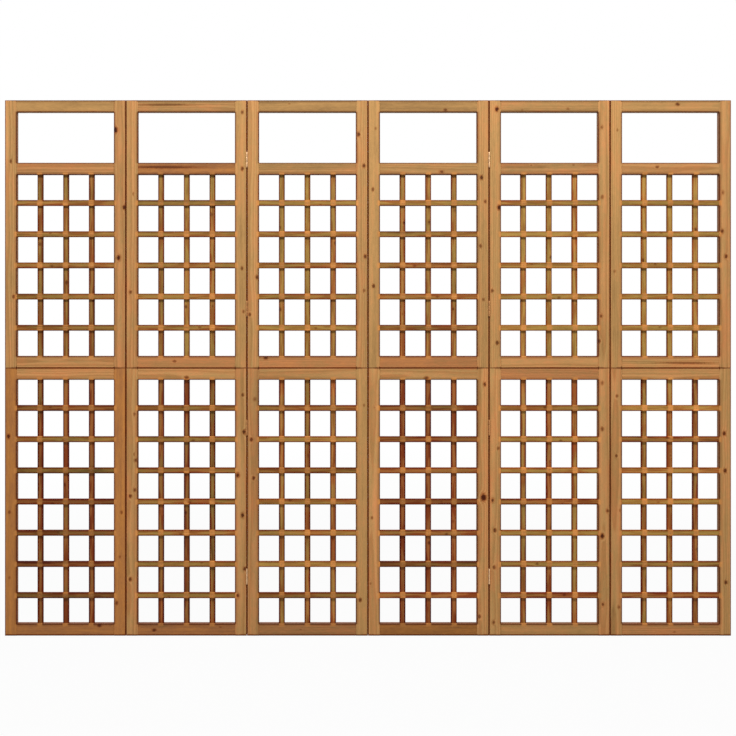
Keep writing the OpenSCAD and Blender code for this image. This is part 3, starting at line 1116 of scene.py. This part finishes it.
class TRELLIS_OT_brads(Operator):
    """Models the brads that pin the crossbars to the uprights"""

    bl_idname = "trellis.brads"
    bl_label = "Brads"

    def execute(self, context):
        lattice = context.scene.trellis_lattice
        back_y = CROSSBAR_FRONT_Y + lattice.brad_h
        front_y = CROSSBAR_FRONT_Y - lattice.brad_h
        crown_w, crown_h = 0.3 * lattice.brad_d, 0.4 * lattice.brad_h
        shoulder = 0.2 * lattice.brad_d
        master = rod((0, back_y, 0), (0, front_y, 0), lattice.brad_d, BRAD_SIDES)
        with editing(master, "FACE", lambda centre, normal: normal.y < -MAINLY):
            bpy.ops.mesh.inset(thickness=crown_w, depth=crown_h)
        with editing(master, "FACE", lambda centre, normal: normal.y > MAINLY):
            bpy.ops.mesh.inset(thickness=shoulder)
            extrude(0, lattice.brad_l, 0)
        for p in PANELS:
            brads = [
                copied(master, Matrix.Translation((PANEL_LEFTS[p] + x, 0, z)))
                for level in levels()
                for z in level.bars
                for x in upright_places()
            ]
            hand_over(brads, p, "lattice_brads", plating("brad_steel"))
        dispose([master])
        return {"FINISHED"}


def hinge_places(panel):
    """Matrices that set a left leaf's parts on a panel's hinges, and whether the panel is the left one."""
    places = []
    for line in LINES:
        if panel not in (line, line + 1):
            continue
        is_left = panel == line
        turn = Matrix.Diagonal((1 if is_left else -1, barrel_side(line), 1, 1))
        for level in levels():
            for z in hinge_heights(level):
                places.append((Matrix.Translation((HINGE_AXES[line].x, 0, z)) @ turn, is_left))
    return places


def hung(master, matrix):
    """Copies a part of a hinge to its place, marked darker if it is on one of the hinges near the seam."""
    piece = copied(master, matrix)
    is_near_seam = abs(matrix.translation.z - SEAM_Z) < (HEAD_Z - SEAM_Z) / 2
    note(piece.data, "tarnish", "POINT", [is_near_seam] * 3 * len(piece.data.vertices))
    return piece


def leaf_screw_places():
    """Places of a leaf's three screws, from the middle of the screen's thickness and of the hinge."""
    hinge = bpy.context.scene.trellis_hinge
    edge = BARREL_OUT - hinge.leaf_w + hinge.screw_edge
    high = hinge.height / 2 - hinge.screw_margin
    return [(edge, -high), (edge + hinge.screw_step, 0), (edge, high)]


def knuckle(low, high, wall):
    """Models a knuckle of a hinge as a tube with eased rims."""
    barrel_d = bpy.context.scene.trellis_hinge.barrel_d
    ring = rod((0, BARREL_OUT, low), (0, BARREL_OUT, high), barrel_d, KNUCKLE_SIDES)
    with editing(ring, "FACE", lambda centre, normal: abs(normal.z) > MAINLY):
        bpy.ops.mesh.inset(thickness=wall, use_even_offset=True)
        bpy.ops.mesh.bridge_edge_loops()
    rim_ease = 0.12 * wall
    round_off(ring, lambda a, b: abs(a.z - b.z) < NEAR, rim_ease, KNUCKLE_STEPS)
    return ring


def leaf(knuckles):
    """Models a leaf on the left of a hinge, with its rolled knuckles, counted from the middle one."""
    hinge = bpy.context.scene.trellis_hinge
    face_x = -PANEL_GAP / 2
    back_x = face_x - hinge.leaf_t
    neck_y = BARREL_OUT - hinge.barrel_d / 2 - hinge.knuckle_gap
    wall = (hinge.barrel_d - hinge.pin_d) / 2 - hinge.pin_fit
    bite = 0.55 * wall
    half_h = hinge.height / 2
    knuckle_h = (hinge.height - 2 * hinge.knuckle_gap) / 3
    step = knuckle_h + hinge.knuckle_gap
    spans = [(k * step - knuckle_h / 2, k * step + knuckle_h / 2) for k in knuckles]
    plate = block((back_x, BARREL_OUT - hinge.leaf_w, -half_h), (face_x, neck_y, half_h))
    for z in sorted((z for span in spans for z in span if abs(z) < half_h - OVER), reverse=True):
        with editing(plate):
            bpy.ops.mesh.bisect(plane_co=(0, 0, z), plane_no=(0, 0, 1))

    def faces_a_knuckle(centre, normal):
        return normal.y > MAINLY and any(low < centre.z < high for low, high in spans)

    with editing(plate, "FACE", faces_a_knuckle):
        extrude(0, hinge.knuckle_gap + bite, 0)
    combine(plate, [knuckle(low, high, wall) for low, high in spans], "UNION")
    past = OVER / 10
    sink_d = 1.04 * hinge.screw_head_d
    cut(plate, [
        rod((face_x + past, y, z), (back_x - past, y, z), sink_d, HOLE_SIDES, hinge.screw_d)
        for y, z in leaf_screw_places()
    ])
    with editing(plate):
        bpy.ops.mesh.remove_doubles(threshold=NEAR)
    smooth(plate)
    return plate


class TRELLIS_OT_hinge_leaves(Operator):
    """Models the leaves of the butt hinges"""

    bl_idname = "trellis.hinge_leaves"
    bl_label = "Hinge leaves"

    def execute(self, context):
        masters = {True: leaf([-1, 1]), False: leaf([0])}
        for p in PANELS:
            leaves = [hung(masters[is_left], matrix) for matrix, is_left in hinge_places(p)]
            hand_over(leaves, p, "leaf_plates", plating("hinge_zinc"), "hinge_leaves")
        dispose(masters.values())
        return {"FINISHED"}


class TRELLIS_OT_hinge_pins(Operator):
    """Models the hinge pins with their rounded heads"""

    bl_idname = "trellis.hinge_pins"
    bl_label = "Hinge pins"

    def execute(self, context):
        hinge = context.scene.trellis_hinge
        half_h = hinge.height / 2
        flare = hinge.pin_head_d / hinge.pin_d
        crown = 0.75 * hinge.pin_head_h
        master = rod((0, BARREL_OUT, -half_h), (0, BARREL_OUT, half_h), hinge.pin_d, PIN_SIDES)
        for side in (-1, 1):
            top = side * (half_h + hinge.pin_head_h)

            def is_end(centre, normal):
                return normal.z * side > MAINLY and centre.z * side > 0

            def is_rim(a, b):
                return abs(a.z - top) + abs(b.z - top) < NEAR

            with editing(master, "FACE", is_end):
                middle = (0, BARREL_OUT, side * half_h)
                extrude(0, 0, 0)
                bpy.ops.transform.resize(value=(flare, flare, 1), center_override=middle)
                extrude(0, 0, side * hinge.pin_head_h)
            round_off(master, is_rim, crown, PIN_STEPS)
        smooth(master)
        for p in LINES:
            pins = [hung(master, matrix) for matrix, is_left in hinge_places(p) if is_left]
            hand_over(pins, p, "pin_rods", plating("pin_zinc"), "hinge_pins")
        dispose([master])
        return {"FINISHED"}


def screw(head_d, head_h, shank_d, screw_l):
    """Models a countersunk screw with a cross in its head, from its head at the origin along +X."""
    shaft = rod((0, 0, 0), (head_h, 0, 0), head_d, SCREW_SIDES, shank_d)
    tip = 0.1
    with editing(shaft, "FACE", lambda centre, normal: normal.x > MAINLY):
        extrude(screw_l - shank_d - head_h, 0, 0)
        extrude(shank_d, 0, 0)
        bpy.ops.transform.resize(value=(1, tip, tip), center_override=(screw_l, 0, 0))
    arm, blade, depth = 0.30 * head_d, 0.075 * head_d, 0.55 * head_h
    combine(shaft, [
        block((-OVER, -arm, -blade), (depth, arm, blade)),
        block((-OVER, -blade, -arm), (depth, blade, arm)),
    ], "DIFFERENCE")
    smooth(shaft)
    return shaft


class TRELLIS_OT_hinge_screws(Operator):
    """Models the screws of the hinge leaves"""

    bl_idname = "trellis.hinge_screws"
    bl_label = "Hinge screws"

    def execute(self, context):
        hinge = context.scene.trellis_hinge
        master = screw(hinge.screw_head_d, hinge.leaf_t, hinge.screw_d, hinge.screw_l)
        into_left = Matrix.Diagonal((-1, 1, 1, 1))
        for p in PANELS:
            screws = [
                copied(master, matrix @ Matrix.Translation((-PANEL_GAP / 2, y, z)) @ into_left)
                for matrix, is_left in hinge_places(p)
                for y, z in leaf_screw_places()
            ]
            hand_over(screws, p, "leaf_screws", plating("screw_zinc"), "hinge_screws")
        dispose([master])
        return {"FINISHED"}


class TRELLIS_OT_joining_screws(Operator):
    """Models the long screws that join the two frames of a panel"""

    bl_idname = "trellis.joining_screws"
    bl_label = "Joining screws"

    def execute(self, context):
        hinge = context.scene.trellis_hinge
        master = screw(hinge.joiner_head_d, hinge.joiner_head_h, hinge.joiner_d, hinge.joiner_l)
        upright = Matrix.Rotation(-math.pi / 2, 4, "Y")
        head_z = SEAM_Z - context.scene.trellis_frame.rail_w
        for p in PANELS:
            screws = [
                copied(master, Matrix.Translation((PANEL_LEFTS[p] + x, 0, head_z)) @ upright)
                for x in joining_places()
            ]
            hand_over(screws, p, "frame_screws", plating("screw_zinc"), "joining_screws")
        dispose([master])
        return {"FINISHED"}


# Stage


def seen_directly(w):
    """1 for the rays that show the background itself, in the picture and in metal."""
    path = w.add("ShaderNodeLightPath").outputs
    direct = w.sum("MAXIMUM", path["Is Camera Ray"], path["Is Glossy Ray"])
    return w.sum("MAXIMUM", direct, path["Is Transmission Ray"])


def light_world(stage):
    """A white surround that lights the screen only softly."""
    world = bpy.data.worlds.new("surround")
    bpy.context.scene.world = world
    w = Wiring(world)
    surround = w.tree.nodes["Background"]
    surround.inputs["Color"].default_value = (1, 1, 1, 1)
    w.put(surround.inputs["Strength"], seen_directly(w) * (1 - stage.fill) + stage.fill)


def lay_floor(stage):
    """A plain white floor that keeps the screen's shadow and fades into the surround."""
    bpy.ops.object.select_all(action="DESELECT")
    bpy.ops.mesh.primitive_plane_add(size=FLOOR_SIZE, location=(0, 0, FOOT_Z - FLOOR_DROP))
    floor = bpy.context.object
    floor.name = "floor"
    bpy.ops.object.transform_apply(location=True, rotation=True, scale=True)
    w = Wiring(bpy.data.materials.new("floor_paper"))
    paper = w.finish(Base_Color=(*[stage.floor_grey] * 3, 1), Roughness=0.9, Specular_IOR_Level=0.0)
    glow = w.add("ShaderNodeEmission", [(1, 1, 1, 1), 1.0])
    distance = w.add("ShaderNodeVectorMath", [w.place()], operation="LENGTH").outputs["Value"]
    white = w.fade(distance, *SHADOW_FADE) * stage.floor_shadow + (1 - stage.floor_shadow)
    mixed = w.add("ShaderNodeMixShader", [seen_directly(w) * white, paper.outputs[0], glow.outputs[0]])
    w.put(w.tree.nodes["Material Output"].inputs["Surface"], mixed.outputs[0])
    floor.data.materials.append(w.owner)


def hang_light(name, place, target, size, watts):
    """A soft strip light that faces a point."""
    bpy.ops.object.select_all(action="DESELECT")
    bpy.ops.object.light_add(type="AREA", location=place)
    lamp = bpy.context.object
    lamp.name = name
    lamp.data.shape = "RECTANGLE"
    lamp.data.size, lamp.data.size_y = size
    lamp.data.energy = watts
    lamp.rotation_euler = (Vector(target) - Vector(place)).to_track_quat("-Z", "Y").to_euler()


def set_camera(stage):
    """A level camera before the screen, shifted so that the screen is in the middle of its view."""
    middle = (cad_box[0] + cad_box[1]) / 2
    bpy.ops.object.camera_add(
        location=(middle.x + stage.eye_aside, FRONT_Y - stage.eye_distance, stage.eye_height),
        rotation=(math.pi / 2, 0, 0),
    )
    camera = bpy.context.object
    camera.data.sensor_width = stage.sensor_w
    camera.data.lens = stage.sensor_w * stage.eye_distance / stage.view_w
    camera.data.shift_x = -stage.eye_aside / stage.view_w
    camera.data.shift_y = (middle.z - stage.eye_height) / stage.view_w
    bpy.context.scene.camera = camera


class TRELLIS_OT_stage(Operator):
    """Sets the floor, the light and the camera"""

    bl_idname = "trellis.stage"
    bl_label = "Stage"

    def execute(self, context):
        stage = context.scene.trellis_stage
        context.scene.view_settings.view_transform = "Standard"
        light_world(stage)
        lay_floor(stage)
        hang_light("front_light", *FRONT_LIGHT, stage.key_power)
        hang_light("back_light", *BACK_LIGHT, stage.back_power)
        set_camera(stage)
        return {"FINISHED"}


GROUPS = {
    "trellis_frame": TrellisFrameSizes,
    "trellis_lattice": TrellisLatticeSizes,
    "trellis_hinge": TrellisHingeSizes,
    "trellis_finish": TrellisFinish,
    "trellis_stage": TrellisStage,
}
OPERATORS = [
    TRELLIS_OT_stage,
    TRELLIS_OT_stiles,
    TRELLIS_OT_rails,
    TRELLIS_OT_uprights,
    TRELLIS_OT_crossbars,
    TRELLIS_OT_brads,
    TRELLIS_OT_hinge_leaves,
    TRELLIS_OT_hinge_pins,
    TRELLIS_OT_hinge_screws,
    TRELLIS_OT_joining_screws,
]


class VIEW3D_PT_trellis(Panel):
    """Lists the sizes, the finishes and the pieces of the screen"""

    bl_idname = "VIEW3D_PT_trellis"
    bl_label = "Folding trellis screen"
    bl_space_type = "VIEW_3D"
    bl_region_type = "UI"
    bl_category = "Trellis"

    def draw(self, context):
        for operator in OPERATORS:
            self.layout.operator(operator.bl_idname)
        for name, group in GROUPS.items():
            box = self.layout.box()
            for key in group.__annotations__:
                box.prop(getattr(context.scene, name), key)


def register():
    """Registers the classes and hangs the sizes on the scene."""
    for name, group in GROUPS.items():
        bpy.utils.register_class(group)
        setattr(bpy.types.Scene, name, PointerProperty(type=group))
    for operator in OPERATORS:
        bpy.utils.register_class(operator)
    bpy.utils.register_class(VIEW3D_PT_trellis)


def unregister():
    """Takes back what register did."""
    bpy.utils.unregister_class(VIEW3D_PT_trellis)
    for operator in reversed(OPERATORS):
        bpy.utils.unregister_class(operator)
    for name, group in GROUPS.items():
        delattr(bpy.types.Scene, name)
        bpy.utils.unregister_class(group)


def main():
    """Registers the add-on, then sets the stage and builds the screen."""
    register()
    bpy.ops.trellis.stage()
    bpy.ops.trellis.stiles()
    bpy.ops.trellis.rails()
    bpy.ops.trellis.uprights()
    bpy.ops.trellis.crossbars()
    bpy.ops.trellis.brads()
    bpy.ops.trellis.hinge_leaves()
    bpy.ops.trellis.hinge_pins()
    bpy.ops.trellis.hinge_screws()
    bpy.ops.trellis.joining_screws()


if __name__ == "__main__":
    main()
